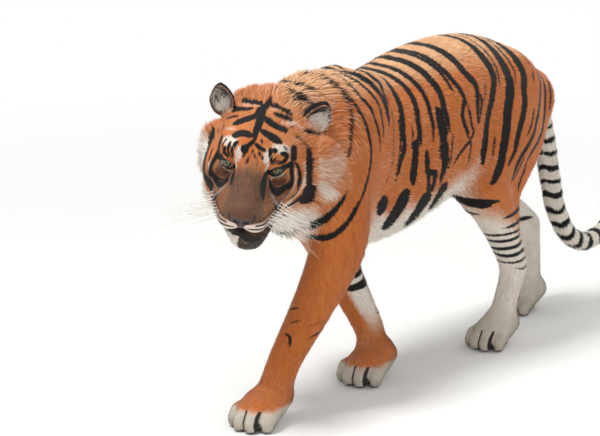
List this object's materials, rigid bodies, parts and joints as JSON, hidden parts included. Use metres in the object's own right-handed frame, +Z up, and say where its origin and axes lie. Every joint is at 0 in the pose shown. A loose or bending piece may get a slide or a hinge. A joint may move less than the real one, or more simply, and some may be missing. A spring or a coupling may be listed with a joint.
{
  "type": "tiger",
  "caption": "Life-size still model of a walking Sumatran tiger, head lowered and turned, standing on its four paws.",
  "frame": {"origin": "on the floor, under the centre of the bounding box", "axes": "+Z up, the tiger walks towards -Y, and its left side is +X"},
  "size_m": [0.3524, 1.589, 0.79],
  "materials": {
    "coat": "matte short fur, orange with black stripes and white underside",
    "nose_leather": "satin, slightly moist",
    "eye": "gloss"
  },
  "bodies": {
    "root": {"head": "coat", "jaw": "coat", "nose": "nose_leather", "eye_left": "eye", "eye_right": "eye", "ear_left": "coat", "ear_right": "coat", "neck": "coat", "trunk_front": "coat", "trunk_middle": "coat", "trunk_rear": "coat", "tail_base": "coat", "tail_middle": "coat", "tail_tip": "coat", "foreleg_left_upper": "coat", "foreleg_left_forearm": "coat", "foreleg_left_paw": "coat", "foreleg_right_upper": "coat", "foreleg_right_forearm": "coat", "foreleg_right_paw": "coat", "hindleg_left_thigh": "coat", "hindleg_left_shank": "coat", "hindleg_left_metatarsus": "coat", "hindleg_left_paw": "coat", "hindleg_right_thigh": "coat", "hindleg_right_shank": "coat", "hindleg_right_metatarsus": "coat", "hindleg_right_paw": "coat"}
  },
  "joints": []
}
